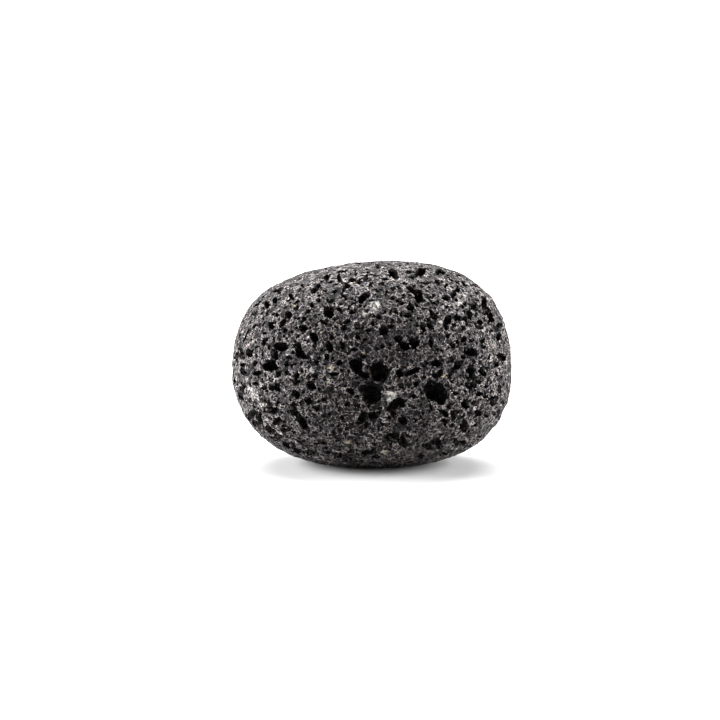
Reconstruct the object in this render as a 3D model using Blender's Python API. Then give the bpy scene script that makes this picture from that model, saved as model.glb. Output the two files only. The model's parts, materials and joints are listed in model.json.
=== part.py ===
"""A tumbled lava stone: one piece of dark vesicular basalt.

Tumbling wore the outside to a smooth pebble and laid open the gas bubbles that lay under it. The
stone lies at the origin on its one flat spot: +X runs along its length, +Y away from its front and
+Z up. Every length is in metres.
"""

import math
import random

import bmesh
import bpy
from mathutils import Matrix, Vector, noise
from mathutils.bvhtree import BVHTree

MM = 0.001

# Overall size of the stone as it lies
LENGTH = 60.0 * MM
DEPTH = 50.0 * MM
HEIGHT = 43.5 * MM

# Worn body: a block so rounded that it is nearly an ellipsoid (2 would be one, more is boxier)
ROUNDNESS = 2.3
BODY_SUBDIVISIONS = 4
FLAT_SPOT_DEPTH = 0.5 * MM

# Shoulders and worn-down sides: azimuth from +X towards +Y and rise above level in degrees, swell
# as a share of the radius, and spread in degrees
LUMPS = (
    (0, 40, 0.050, 26),
    (180, 62, -0.040, 26),
    (0, -24, 0.042, 24),
    (0, -48, 0.020, 20),
    (180, -8, 0.028, 24),
    (180, -45, 0.022, 20),
    (180, 28, 0.022, 14),
    (270, 20, 0.015, 30),
    (60, 10, -0.012, 28),
    (130, 15, 0.015, 28),
    (95, -35, -0.010, 24),
)

# Where the front bubbles are laid out from: a point straight in front of the stone, looking down
# on it a little
EYE_DISTANCE = 600 * MM
EYE_RISE = 7.0

# Largest bubbles of the front, as seen from the eye, in millimetres from the stone's middle:
# across, up, wide, tall, and lean in degrees, anticlockwise
FRONT_BUBBLES = (
    (14.1, -6.6, 3.9, 5.0, 0),
    (1.5, -2.1, 3.6, 3.8, 0),
    (-0.4, -5.6, 4.5, 2.6, 0),
    (0.1, -7.4, 3.2, 2.8, 0),
    (-3.5, -0.5, 2.6, 3.0, 0),
    (24.4, 12.8, 1.5, 3.7, 0),
    (-22.2, -0.6, 2.6, 2.4, 0),
    (-20.0, 3.6, 3.0, 1.7, 0),
    (4.9, -9.2, 3.0, 1.7, 50),
    (-9.3, 11.0, 2.4, 2.2, 0),
    (9.2, 4.3, 2.3, 2.3, 0),
    (-13.3, -19.5, 3.2, 1.3, -8),
    (10.2, 14.8, 2.4, 1.9, -40),
    (6.2, -8.5, 2.4, 1.9, 0),
    (-1.8, -11.7, 2.6, 1.7, 30),
    (22.2, 12.1, 1.7, 2.6, 0),
    (4.6, -16.5, 3.0, 1.3, -8),
    (-21.5, -10.3, 2.2, 1.9, 0),
    (-15.0, -13.2, 2.8, 1.3, -60),
    (-0.5, -19.3, 3.0, 1.1, 0),
    (20.1, -13.6, 1.7, 2.4, 0),
    (25.7, 10.4, 3.0, 1.1, -65),
    (21.6, -1.6, 1.7, 2.4, 0),
    (-28.2, -6.3, 1.1, 3.0, -10),
    (-26.4, -11.7, 1.5, 2.6, -20),
    (-25.0, -13.4, 2.6, 1.5, -45),
    (-20.9, 1.9, 1.7, 2.2, 0),
    (-12.5, 5.6, 2.4, 1.5, -65),
    (21.6, 2.5, 2.2, 1.7, -20),
    (0.1, -11.5, 1.9, 1.9, 0),
    (6.6, -17.0, 2.2, 1.7, -50),
    (20.3, -9.0, 1.7, 2.2, 0),
    (10.6, 19.9, 2.2, 1.7, 0),
    (2.5, 7.1, 1.9, 1.7, 0),
    (-13.2, -5.0, 2.2, 1.5, -50),
)

# Bubbles of the sides, the back, the top and underneath, which follow a rule
OTHER_BUBBLES = 46
OTHER_SEED = 11
OTHER_LEAST = 1.9 * MM
OTHER_MOST = 5.2 * MM
BUBBLE_GAP = 1.6 * MM

# Shape of a bubble: its middle lies under the skin, so its mouth is a little narrower than it is
SINK = 0.35
BUBBLE_SUBDIVISIONS = 2
BUBBLE_UNEVENNESS = 0.22

# No bubble opens within this distance of the middle of the flat spot
SOUND_RADIUS = 10.0 * MM

BASALT_COLOUR = (0.052, 0.050, 0.050, 1.0)
BASALT_ROUGHNESS = 0.92

MIDDLE = Vector((0.0, 0.0, HEIGHT / 2))


def clear_scene():
    """Start from an empty scene."""
    for old in list(bpy.data.objects):
        bpy.data.objects.remove(old, do_unlink=True)


def heading(azimuth, rise):
    """Unit vector at an azimuth from +X and a rise above level, both in degrees."""
    turn = Matrix.Rotation(math.radians(azimuth), 3, "Z") @ Matrix.Rotation(-math.radians(rise), 3, "Y")
    return turn @ Vector((1.0, 0.0, 0.0))


def block_radius(direction):
    """Distance from the middle of the rounded block to its skin."""
    shares = (
        abs(direction.x) / (LENGTH / 2),
        abs(direction.y) / (DEPTH / 2),
        abs(direction.z) / (HEIGHT / 2),
    )
    return sum(share ** ROUNDNESS for share in shares) ** (-1 / ROUNDNESS)


def swelling(direction):
    """How far the lumps swell or shrink the block in one direction, as a factor."""
    factor = 1.0
    for azimuth, rise, swell, spread in LUMPS:
        away = math.degrees(direction.angle(heading(azimuth, rise)))
        factor += swell * math.exp(-((away / spread) ** 2))
    return factor


def fit_to_size(body):
    """Bring the shaped body to its overall size, sunk under level by what the flat spot takes off."""
    low = Vector(min(vert.co[axis] for vert in body.verts) for axis in range(3))
    high = Vector(max(vert.co[axis] for vert in body.verts) for axis in range(3))
    size = Vector((LENGTH, DEPTH, HEIGHT + FLAT_SPOT_DEPTH))
    scale = Vector(size[axis] / (high[axis] - low[axis]) for axis in range(3))
    foot = Vector(((low.x + high.x) / 2, (low.y + high.y) / 2, low.z))
    for vert in body.verts:
        vert.co = (vert.co - foot) * scale
        vert.co.z -= FLAT_SPOT_DEPTH


def cut_flat_spot(body):
    """Take the flat spot off the underside and close it with one face."""
    cut = bmesh.ops.bisect_plane(
        body,
        geom=body.verts[:] + body.edges[:] + body.faces[:],
        plane_co=(0.0, 0.0, 0.0),
        plane_no=(0.0, 0.0, 1.0),
        clear_inner=True,
    )
    rim = [item for item in cut["geom_cut"] if isinstance(item, bmesh.types.BMEdge)]
    bmesh.ops.contextual_create(body, geom=rim)


def worn_body():
    """Mesh of the pebble before any bubble is opened."""
    body = bmesh.new()
    bmesh.ops.create_icosphere(body, subdivisions=BODY_SUBDIVISIONS, radius=1.0)
    for vert in body.verts:
        direction = vert.co.normalized()
        vert.co = direction * block_radius(direction) * swelling(direction)
    fit_to_size(body)
    cut_flat_spot(body)
    bmesh.ops.recalc_face_normals(body, faces=body.faces)
    return body


def add_bubble(bubbles, middle, radii, turn, number):
    """Add one uneven bubble to the cutter: its radii lie along the columns of turn."""
    made = bmesh.ops.create_icosphere(bubbles, subdivisions=BUBBLE_SUBDIVISIONS, radius=1.0)
    shift = Vector((number * 7.3, number * 1.9, 0.0))
    for vert in made["verts"]:
        unevenness = 1.0 + BUBBLE_UNEVENNESS * noise.noise(vert.co * 1.3 + shift)
        vert.co = middle + turn @ (vert.co * radii * unevenness)


def add_front_bubbles(bubbles, skin):
    """Lay out the large front bubbles as they are seen from the eye."""
    tilt = Matrix.Rotation(-math.radians(EYE_RISE), 3, "X")
    eye = MIDDLE + tilt @ Vector((0.0, -EYE_DISTANCE, 0.0))
    for number, (across, up, wide, tall, lean) in enumerate(FRONT_BUBBLES):
        seen = MIDDLE + tilt @ Vector((across * MM, 0.0, up * MM))
        mouth, normal = skin.ray_cast(eye, (seen - eye).normalized())[:2]
        mouth_share = math.sqrt(1.0 - SINK ** 2)
        deep = (wide + tall) / 4 * MM
        radii = Vector((wide / 2 * MM, deep, tall / 2 * MM)) / mouth_share
        turn = tilt @ Matrix.Rotation(-math.radians(lean), 3, "Y")
        add_bubble(bubbles, mouth - normal * SINK * deep, radii, turn, number)


def is_front(direction):
    """Whether a direction points at the side that has the listed bubbles."""
    return direction.y < -0.45


def add_other_bubbles(bubbles, skin):
    """Scatter bubbles over the rest of the stone, apart from each other and off the flat spot."""
    rule = random.Random(OTHER_SEED)
    placed = []
    while len(placed) < OTHER_BUBBLES:
        direction = Vector(rule.gauss(0.0, 1.0) for _ in range(3)).normalized()
        diameter = OTHER_LEAST + (OTHER_MOST - OTHER_LEAST) * rule.random() ** 2
        mouth, normal = skin.ray_cast(MIDDLE, direction)[:2]
        crowded = any((mouth - other).length < (diameter + width) / 2 + BUBBLE_GAP for other, width in placed)
        if is_front(direction) or crowded or mouth.xy.length < SOUND_RADIUS and mouth.z < HEIGHT / 2:
            continue
        placed.append((mouth, diameter))
        stretch = rule.uniform(0.8, 1.25)
        radii = Vector((stretch, 1.0 / stretch, 1.0)) * diameter / 2
        turn = normal.to_track_quat("Z", "Y").to_matrix() @ Matrix.Rotation(rule.uniform(0.0, math.pi), 3, "Z")
        add_bubble(bubbles, mouth - normal * SINK * diameter / 2, radii, turn, len(placed) + len(FRONT_BUBBLES))


def add_object(name, mesh_builder):
    """Make an object from a bmesh, and free the bmesh."""
    mesh = bpy.data.meshes.new(name)
    mesh_builder.to_mesh(mesh)
    mesh_builder.free()
    made = bpy.data.objects.new(name, mesh)
    bpy.context.scene.collection.objects.link(made)
    return made


def basalt():
    """Dark, matt vesicular basalt."""
    material = bpy.data.materials.new("vesicular_basalt")
    material.use_nodes = True
    shader = material.node_tree.nodes["Principled BSDF"]
    shader.inputs["Base Color"].default_value = BASALT_COLOUR
    shader.inputs["Roughness"].default_value = BASALT_ROUGHNESS
    shader.inputs["Metallic"].default_value = 0.0
    return material


def build_stone():
    """The stone: the worn body, less its open bubbles."""
    body = worn_body()
    skin = BVHTree.FromBMesh(body)
    stone = add_object("lava_stone", body)
    stone.data.materials.append(basalt())
    stone.data.shade_smooth()
    stone.data.set_sharp_from_angle(angle=math.radians(35))

    cutter = bmesh.new()
    add_front_bubbles(cutter, skin)
    add_other_bubbles(cutter, skin)
    bubbles = add_object("bubbles", cutter)
    bubbles.display_type = "WIRE"
    bubbles.hide_render = True

    opened = stone.modifiers.new("open bubbles", "BOOLEAN")
    opened.operation = "DIFFERENCE"
    opened.solver = "EXACT"
    opened.use_self = True
    opened.object = bubbles


clear_scene()
build_stone()
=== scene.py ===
"""A tumbled lava stone of dark vesicular basalt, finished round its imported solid.

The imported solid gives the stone's size and its worn outline. A fine skin is shrunk onto it, gas
bubbles are cut into the skin, and the rock between them gets its finer pores, its grain and its
crusts of pale mineral. Lengths are in metres unless a comment says otherwise.
"""

import json
import math
import random

import bpy
import numpy as np
from mathutils import Matrix, Vector
from mathutils.bvhtree import BVHTree

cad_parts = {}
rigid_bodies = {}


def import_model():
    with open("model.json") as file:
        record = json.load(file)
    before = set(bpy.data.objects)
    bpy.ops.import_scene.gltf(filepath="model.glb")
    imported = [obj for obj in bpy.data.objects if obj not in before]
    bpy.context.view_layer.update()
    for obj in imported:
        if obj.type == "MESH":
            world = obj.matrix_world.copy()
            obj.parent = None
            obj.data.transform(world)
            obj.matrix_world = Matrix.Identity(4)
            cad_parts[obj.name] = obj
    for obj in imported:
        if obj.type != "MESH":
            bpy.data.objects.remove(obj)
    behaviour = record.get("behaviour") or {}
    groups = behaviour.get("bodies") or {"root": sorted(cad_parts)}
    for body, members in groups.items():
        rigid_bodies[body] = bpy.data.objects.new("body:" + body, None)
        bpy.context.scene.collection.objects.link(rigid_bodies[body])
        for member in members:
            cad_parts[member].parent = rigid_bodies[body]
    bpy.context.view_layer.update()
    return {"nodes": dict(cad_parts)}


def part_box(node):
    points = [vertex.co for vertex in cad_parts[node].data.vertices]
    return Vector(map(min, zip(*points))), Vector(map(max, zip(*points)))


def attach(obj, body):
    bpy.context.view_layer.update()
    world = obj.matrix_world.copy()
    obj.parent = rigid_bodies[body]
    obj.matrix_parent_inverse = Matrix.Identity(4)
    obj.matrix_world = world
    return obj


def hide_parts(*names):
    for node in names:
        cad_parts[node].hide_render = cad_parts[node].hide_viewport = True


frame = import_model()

MM = 0.001
SOLID = "lava_stone"
LOW, HIGH = (Vector(corner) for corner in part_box(SOLID))
SIZE = HIGH - LOW
MIDDLE = (HIGH + LOW) / 2

# Where the stone is looked at from, in front of it and a little above, how wide the view is there,
# and how far off the stone's middle it is centred
EYE_DISTANCE = 600 * MM
EYE_RISE = math.radians(7)
TILT = Matrix.Rotation(-EYE_RISE, 3, "X")
EYE = MIDDLE + TILT @ Vector((0.0, -EYE_DISTANCE, 0.0))
PICTURE_WIDTH = 155.7 * MM
AIM_OFFSET = Vector((-2.5 * MM, 0.0, 0.65 * MM))

# Skin before its bubbles are opened: the distance under which the solid's corners are one, how
# finely the skin is divided, how many times and how strongly it is smoothed, how far it is moved
# out to make up for the rims that break away, and the size and height of its slow waves and of its
# ragged wear, all lengths in millimetres
SAME_CORNER = 0.01
SKIN_SUBDIVISIONS = 8
SMOOTHING_PASSES = 40
SMOOTHING_FACTOR = 0.5
SKIN_GAIN = 0.22
WAVES = (3.2, 0.55)
RAGGED_WEAR = (1.0, 0.24)

# Grain of the finished rock: size and height in millimetres, drawn coarser than the rock's own so
# that the mesh can hold it
GRAIN = (0.5, 0.10)

# A bubble's middle lies under the skin by this share of its depth, so that its rim overhangs it
SINK = 0.35
RIM_SHARE = math.sqrt(1.0 - SINK ** 2)

# Uneven bubbles of radius 1: how many different ones, how finely each kind is divided, how far
# apart they are made, and the size and height of their lumps and of their dents
SHAPE_COUNT = 12
SHAPE_SUBDIVISIONS = {"large": 4, "middling": 3, "small": 2}
SHAPE_SPACING = 6.3
LUMPS = (1.3, 0.85)
DENTS = (0.55, 0.42)

# Front bubbles: share of its width that one is deep, how many times its listed width it is cut, the
# most times its width that one seen at a slant may be long, how far one reaches against its longest
# radius, the reach from which it has a finely divided shape, and the turn in radians about its
# depth from one to the next
FRONT_DEPTH = 0.85
FRONT_GAIN = 1.1
MOST_STRETCH = 2.6
REACH_GAIN = 1.3
LARGE_REACH = 1.3 * MM
SPIN_STEP = 2.4

# Least and greatest stretch of a strewn bubble along its own axes
STREWN_STRETCH = ((0.7, 0.7, 0.9), (1.3, 1.3, 1.1))

# Triangles kept in the finished stone, and the angle past which an edge is shaded as an edge
FACES_KEPT = 195_000
SHADED_EDGE = math.radians(50)

# Shares of a vertex's own bulge and of its neighbours' in how far it is taken to stand out
BULGE_SHARES = (0.6, 0.4)

# Flat map of the stone: half a view's width against its square's, and how far past its view's edge,
# at 1, a triangle may reach
MAP_HALF = 0.48
MAP_LIMIT = 1.04

# Open bubbles of the front, the largest first, as seen from the eye, in millimetres from the
# stone's middle: across, up, wide, tall, and lean in degrees, anticlockwise
FRONT_BUBBLES = (
    (14.1, -6.6, 3.9, 5.0, 0), (1.5, -2.1, 3.6, 3.8, 0), (-0.4, -5.6, 4.5, 2.6, 0),
    (0.1, -7.4, 3.2, 2.8, 0), (-3.5, -0.5, 2.6, 3.0, 0), (-22.2, -0.6, 2.6, 2.4, 0),
    (-20.0, 3.6, 3.0, 1.7, 0), (4.9, -9.2, 3.0, 1.7, 50), (-9.3, 11.0, 2.4, 2.2, 0),
    (9.2, 4.3, 2.3, 2.3, 0), (-13.3, -19.5, 3.2, 1.3, -8), (4.4, -16.0, 2.8, 1.7, 15),
    (10.2, 14.8, 2.4, 1.9, -40), (6.2, -8.5, 2.4, 1.9, 0), (-1.8, -11.7, 2.6, 1.7, 30),
    (6.6, -17.0, 2.4, 1.9, -50), (4.6, -16.5, 3.0, 1.3, -8), (-21.5, -10.3, 2.2, 1.9, 0),
    (-15.0, -13.2, 2.8, 1.3, -60), (-0.5, -19.3, 3.0, 1.1, 0), (20.1, -13.6, 1.7, 2.4, 0),
    (25.7, 10.4, 3.0, 1.1, -65), (21.6, -1.6, 1.7, 2.4, 0), (-28.2, -6.3, 1.1, 3.0, -10),
    (-26.4, -11.7, 1.5, 2.6, -20), (-25.0, -13.4, 2.6, 1.5, -45), (9.2, 15.5, 2.6, 1.3, -38),
    (-20.9, 1.9, 1.7, 2.2, 0), (-12.5, 5.6, 2.4, 1.5, -65), (6.9, 3.7, 2.2, 1.7, -20),
    (21.6, 2.5, 2.2, 1.7, -20), (-24.5, -11.9, 2.8, 1.1, -60), (0.1, -11.5, 1.9, 1.9, 0),
    (20.3, -9.0, 1.7, 2.2, 0), (10.6, 19.9, 2.2, 1.7, 0), (2.5, 7.1, 1.9, 1.7, 0),
    (16.6, 9.5, 1.9, 1.7, 0), (-13.2, -5.0, 2.2, 1.5, -50), (-9.2, 3.5, 2.2, 1.5, -70),
    (5.9, -2.4, 2.2, 1.5, 70), (9.1, -1.7, 2.6, 1.1, 20), (6.8, -12.6, 1.9, 1.7, 0),
    (16.1, -19.5, 3.0, 0.6, 22), (24.5, 12.8, 1.1, 2.6, 0), (-21.9, -14.7, 2.4, 1.3, -35),
    (-6.4, 19.8, 2.6, 1.1, 5), (4.5, 19.5, 2.2, 1.5, -35), (-2.1, -2.5, 2.6, 1.1, -50),
    (26.3, -8.2, 1.3, 2.4, 0), (27.8, 8.2, 1.1, 2.6, -25), (-15.5, -19.2, 2.6, 1.1, -20),
    (-26.3, 2.2, 1.9, 1.5, 60), (18.5, -0.4, 1.9, 1.5, 60), (13.9, 0.0, 2.2, 1.3, 0),
    (-20.4, -12.5, 1.9, 1.5, 40), (1.2, -5.4, 1.7, 1.7, 0), (22.2, -4.1, 0.9, 2.6, -10),
    (-16.1, 2.4, 1.3, 2.2, 0), (-14.8, 7.6, 1.7, 1.5, 0), (12.5, 8.6, 2.2, 1.1, -65),
    (-27.1, 6.1, 2.6, 0.6, 65), (-15.2, 1.9, 1.9, 1.3, -55), (-20.6, -5.1, 1.9, 1.3, -80),
    (-28.0, -6.9, 2.6, 0.6, -80), (-16.5, -6.7, 1.9, 1.3, -45), (-1.4, -2.7, 1.9, 1.3, -20),
    (5.6, 5.2, 1.7, 1.5, -30), (21.5, -1.5, 1.7, 1.5, 0), (-16.8, -10.6, 1.7, 1.5, 0),
    (-16.1, -19.2, 2.4, 0.9, 0), (-8.1, -19.8, 2.6, 0.6, -25), (22.3, 12.2, 1.3, 1.9, 0),
    (6.6, -17.4, 1.7, 1.5, 0), (19.3, -17.3, 2.2, 1.1, 10), (-2.5, -12.5, 1.9, 1.3, 30),
    (-12.2, 16.0, 2.2, 1.1, 35), (-15.9, -11.7, 2.2, 1.1, -60), (-2.1, 14.2, 1.7, 1.5, 30),
    (28.4, 1.3, 1.5, 1.7, 30), (8.5, -1.9, 2.2, 1.1, 25), (-18.1, 10.5, 1.5, 1.5, 0),
    (8.3, 16.1, 1.9, 1.1, -30), (-16.1, 3.7, 1.5, 1.5, 0), (21.0, -4.8, 1.7, 1.3, -45),
    (-13.8, -8.3, 1.7, 1.3, 0), (15.7, -11.0, 1.9, 1.1, -40), (25.8, -8.2, 2.2, 0.9, -80),
    (-2.1, -5.6, 1.3, 1.7, 0), (-18.9, -14.6, 2.2, 0.9, -5), (14.4, -17.4, 1.1, 1.9, 0),
    (-9.8, 18.7, 1.7, 1.3, 30), (-20.2, 15.7, 2.2, 0.9, 20), (-29.2, 1.3, 1.1, 1.9, 0),
    (-18.5, -17.9, 2.2, 0.9, -35), (-7.0, -20.1, 2.2, 0.9, 0), (13.3, 10.2, 2.2, 0.9, -55),
    (-21.7, 8.2, 1.5, 1.3, 0), (-19.1, 8.9, 1.9, 0.9, 70), (-5.5, 16.6, 1.9, 0.9, 15),
    (10.5, 19.9, 1.9, 0.9, 0), (-1.2, 14.7, 1.7, 1.1, 0), (8.4, 12.1, 1.5, 1.3, 0),
    (7.7, 10.3, 1.7, 1.1, 0), (16.1, 14.2, 1.7, 1.1, -10), (21.2, 10.6, 1.7, 1.1, -75),
    (-16.4, -2.7, 1.7, 1.1, 75), (-4.6, -6.1, 1.7, 1.1, -35), (13.9, -2.6, 1.7, 1.1, 0),
    (4.6, -10.9, 1.3, 1.5, 0), (0.8, -20.4, 1.9, 0.9, 0), (18.6, -10.5, 1.9, 0.9, 20),
    (18.3, -17.2, 1.3, 1.5, 0), (11.4, -17.9, 1.7, 1.1, 0), (12.0, -18.3, 1.7, 1.1, 0),
    (9.0, 18.9, 1.9, 0.9, 10), (15.0, 19.6, 1.9, 0.9, -10), (22.2, 16.9, 1.9, 0.9, 0),
    (-19.6, 8.4, 0.9, 1.9, -20), (5.7, 5.4, 1.9, 0.9, 0), (-20.2, -16.0, 1.7, 1.1, -40),
    (23.9, -1.3, 1.5, 1.3, 20), (12.8, 4.3, 1.0, 1.8, 0), (-10.5, 8.9, 1.7, 0.9, -25),
    (-5.9, 20.1, 1.9, 0.6, 0), (-4.2, 17.9, 1.7, 0.9, 0), (-2.3, 13.6, 1.3, 1.3, 0),
    (-4.2, 11.0, 1.5, 1.1, 20), (-5.3, 9.1, 1.7, 0.9, 35), (11.4, 17.3, 1.9, 0.6, 0),
    (18.6, 15.8, 1.5, 1.1, 0), (12.4, 14.3, 1.9, 0.6, 0), (18.6, 9.8, 1.5, 1.1, -35),
    (15.9, 8.2, 1.7, 0.9, -75), (-24.8, -2.2, 1.5, 1.1, 0), (-6.4, 3.8, 1.5, 1.1, -60),
    (-1.8, 1.3, 1.5, 1.1, 0), (-8.3, -2.4, 1.7, 0.9, 0), (19.8, 5.2, 1.5, 1.1, 45),
    (24.2, -2.2, 1.5, 1.1, -40), (23.0, -6.6, 1.5, 1.1, 0), (26.1, -7.8, 1.7, 0.9, -70),
    (-5.5, -8.8, 1.3, 1.3, 0), (-5.1, -20.5, 2.2, 0.4, -18), (16.8, -9.2, 1.7, 0.9, 30),
    (15.6, -12.5, 1.5, 1.1, 0), (23.0, -10.9, 1.3, 1.3, 0), (27.5, -10.6, 1.7, 0.9, 70),
    (-21.6, -5.2, 1.1, 1.5, 0), (-22.8, 12.8, 1.1, 1.5, -20), (-7.1, 0.0, 1.3, 1.3, 0),
    (27.6, -5.6, 0.9, 1.7, 0), (27.5, 5.6, 0.9, 1.7, 0), (-28.2, 1.7, 0.9, 1.7, 0),
    (18.8, 9.7, 1.5, 1.1, -20), (20.6, -3.2, 0.6, 1.9, 20), (-15.2, 16.0, 1.9, 0.5, 45),
    (-17.4, 14.4, 1.5, 0.9, -25), (5.1, 18.8, 1.5, 0.9, 0), (-6.2, 14.8, 1.7, 0.6, -40),
    (-7.2, 11.6, 1.5, 0.9, 0), (17.7, 15.0, 1.3, 1.1, 0), (11.1, 7.6, 1.5, 0.9, -50),
    (14.6, 19.8, 1.5, 0.9, 0), (-13.9, 1.3, 1.5, 0.9, -10), (-27.6, -2.2, 1.5, 0.9, -40),
    (-25.3, 0.0, 1.5, 0.9, 75), (-20.3, -2.4, 1.1, 1.3, 0), (-12.4, -2.6, 1.3, 1.1, 0),
    (-9.8, 1.3, 1.3, 1.1, 0), (17.5, 3.9, 1.5, 0.9, -60), (21.7, -3.0, 1.3, 1.1, 0),
    (22.4, -4.8, 1.7, 0.6, -70), (-17.2, -17.6, 1.7, 0.6, -25), (-10.4, -17.4, 1.3, 1.1, 0),
    (-7.5, -16.2, 1.7, 0.6, -30), (0.3, -21.6, 1.7, 0.6, 0), (22.3, -8.8, 1.3, 1.1, 0),
    (13.2, -17.3, 1.5, 0.9, 50), (1.4, -10.8, 1.5, 0.9, 20), (-1.0, 18.1, 1.5, 0.9, 0),
    (16.9, -3.0, 0.6, 1.7, 0), (17.8, -11.5, 1.7, 0.6, 60), (22.3, -8.6, 1.5, 0.9, 0),
    (29.3, -5.2, 0.5, 1.7, 0), (-20.9, 13.6, 1.3, 0.9, 50), (-12.9, 12.5, 1.1, 1.1, 0),
    (-25.2, 10.7, 1.3, 0.9, 30), (-2.8, 17.6, 1.3, 0.9, 10), (-0.8, 17.9, 1.7, 0.4, 0),
    (2.9, 18.2, 1.5, 0.6, 0), (1.4, 10.1, 1.1, 1.1, 0), (0.1, 13.6, 1.7, 0.4, 0), (4.1, 8.0, 1.1, 1.1, 0),
    (-0.8, 7.1, 1.3, 0.9, 0), (14.1, 17.5, 1.3, 0.9, -30), (25.8, 9.1, 1.3, 0.9, -25),
    (12.9, 11.2, 1.3, 0.9, -40), (13.8, 10.3, 1.3, 0.9, -40), (23.5, 8.9, 1.1, 1.1, 0),
    (-28.0, -0.4, 1.3, 0.9, 0), (-25.2, -4.5, 1.3, 0.9, 0), (-3.1, 5.6, 1.3, 0.9, -40),
    (-3.8, 3.0, 1.3, 0.9, 0), (9.4, -4.6, 1.1, 1.1, 0), (15.0, -2.1, 1.5, 0.6, 70),
    (16.8, -2.8, 1.5, 0.6, -75), (18.1, -6.5, 1.3, 0.9, 0), (-18.9, -13.5, 1.3, 0.9, 0),
    (-16.9, -9.0, 1.3, 0.9, 0), (-1.2, -13.6, 0.9, 1.3, 0), (12.8, -9.6, 1.5, 0.6, -65),
    (10.7, -20.3, 1.3, 0.9, 0), (-23.2, -5.4, 1.3, 0.9, 20), (-1.1, -13.4, 0.9, 1.3, 0),
    (-7.1, 18.6, 0.9, 1.3, 0), (1.4, 20.9, 1.1, 1.1, 0), (-24.5, 12.8, 1.3, 0.9, 60),
    (-16.6, -3.9, 0.9, 1.3, 0), (-17.0, -8.9, 0.9, 1.3, 0), (25.6, -6.3, 0.6, 1.5, 0),
    (-29.6, -3.9, 0.9, 1.3, 0), (14.8, -1.9, 1.3, 0.9, 30), (-12.6, 15.6, 1.1, 0.9, 20),
    (-8.8, 13.6, 1.3, 0.6, 25), (-9.9, 18.8, 1.3, 0.6, 20), (-6.8, 17.7, 1.1, 0.9, 0),
    (4.6, 16.2, 1.3, 0.6, 0), (7.9, 19.7, 1.3, 0.6, 0), (-8.1, 15.5, 1.3, 0.6, 30),
    (0.1, 8.4, 0.9, 1.1, 0), (9.8, 8.0, 1.3, 0.6, 10), (20.0, 17.0, 1.3, 0.6, -45),
    (13.2, 13.1, 1.3, 0.6, -20), (24.5, 10.8, 1.1, 0.9, 0), (23.0, 7.8, 1.3, 0.6, -35),
    (-23.0, 5.0, 1.1, 0.9, 0), (-18.5, -0.4, 1.1, 0.9, 0), (-12.0, 0.3, 1.3, 0.6, 0),
    (-18.9, 7.1, 1.3, 0.6, 75), (-1.4, 5.1, 1.3, 0.6, 15), (2.3, 3.7, 1.1, 0.9, 0),
    (9.2, -7.2, 1.1, 0.9, 0), (5.7, 5.6, 1.3, 0.6, 30), (20.0, 3.1, 1.3, 0.6, -80),
    (24.0, 4.8, 1.1, 0.9, 0), (19.8, 1.3, 1.1, 0.9, 0), (27.1, -0.4, 0.9, 1.1, 0),
    (23.2, -4.1, 1.1, 0.9, 0), (24.6, -7.2, 1.1, 0.9, 0), (-22.4, -8.6, 1.3, 0.6, -70),
    (-17.9, -14.1, 1.1, 0.9, 0), (-11.9, -9.9, 1.1, 0.9, 0), (-21.3, -16.2, 1.3, 0.6, -15),
    (-15.9, -16.9, 1.5, 0.4, -15), (-12.0, -17.6, 1.3, 0.6, 0), (-6.4, -11.9, 1.1, 0.9, 0),
    (-2.9, -9.3, 1.3, 0.6, 60), (17.6, -11.4, 1.1, 0.9, 0), (28.4, -8.6, 0.6, 1.3, 0),
    (-10.5, -8.0, 1.1, 0.9, 0), (20.0, 9.7, 1.1, 0.9, 30), (-22.7, 10.6, 1.1, 0.6, 60),
    (-11.6, 16.9, 1.1, 0.6, 40), (-11.7, 13.6, 0.9, 0.9, 0), (-16.1, 12.1, 1.1, 0.6, 70),
    (-25.4, 8.0, 1.1, 0.6, 65), (-16.1, 13.2, 1.1, 0.6, 35), (-20.6, 10.4, 1.1, 0.6, 60),
    (-23.0, 11.9, 1.1, 0.6, 30), (-1.2, 18.9, 1.1, 0.6, 20), (4.2, 19.7, 1.1, 0.6, 0),
    (-2.9, 7.6, 1.1, 0.6, 0), (9.7, 12.6, 1.1, 0.6, -40), (16.1, 16.9, 1.1, 0.6, 0),
    (20.0, 12.8, 0.9, 0.9, 0), (-16.1, 5.9, 1.1, 0.6, 50), (-18.1, 1.3, 0.9, 0.9, 0),
    (-20.6, -1.1, 0.9, 0.9, 0), (-6.8, 0.0, 1.1, 0.6, 80), (-3.1, -7.2, 1.1, 0.6, 0),
    (16.3, 5.7, 1.1, 0.6, -35), (21.3, 4.9, 1.1, 0.6, -40), (24.1, 3.5, 1.1, 0.6, -50),
    (11.7, 0.2, 1.1, 0.6, -30), (11.2, -3.0, 1.1, 0.6, 0), (24.6, -5.0, 0.9, 0.9, 0),
    (27.1, -2.4, 0.6, 1.1, 0), (-20.4, -8.5, 0.9, 0.9, 0), (-22.8, -10.6, 1.1, 0.6, 0),
    (-10.5, -8.0, 1.1, 0.6, 0), (-19.1, -16.1, 1.3, 0.4, -20), (-14.4, -17.9, 1.3, 0.4, 0),
    (3.7, -9.8, 0.9, 0.9, 0), (1.4, -10.8, 0.9, 0.9, 0), (2.3, -13.2, 1.1, 0.6, 0),
    (3.6, -18.6, 1.3, 0.4, -20), (0.3, -18.8, 1.1, 0.6, 0), (22.4, -13.4, 1.1, 0.6, 50),
    (26.5, -11.0, 1.1, 0.6, 60), (13.1, -17.1, 1.1, 0.6, 0), (14.4, -18.3, 1.1, 0.6, 0),
    (-3.5, 19.3, 0.6, 1.1, 0), (25.9, 6.9, 1.1, 0.6, 0), (1.6, -9.9, 1.1, 0.6, 20),
    (-15.0, 16.8, 0.9, 0.6, 0), (-15.9, 9.7, 0.9, 0.6, 30), (-20.0, 15.1, 0.9, 0.6, 0),
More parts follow.
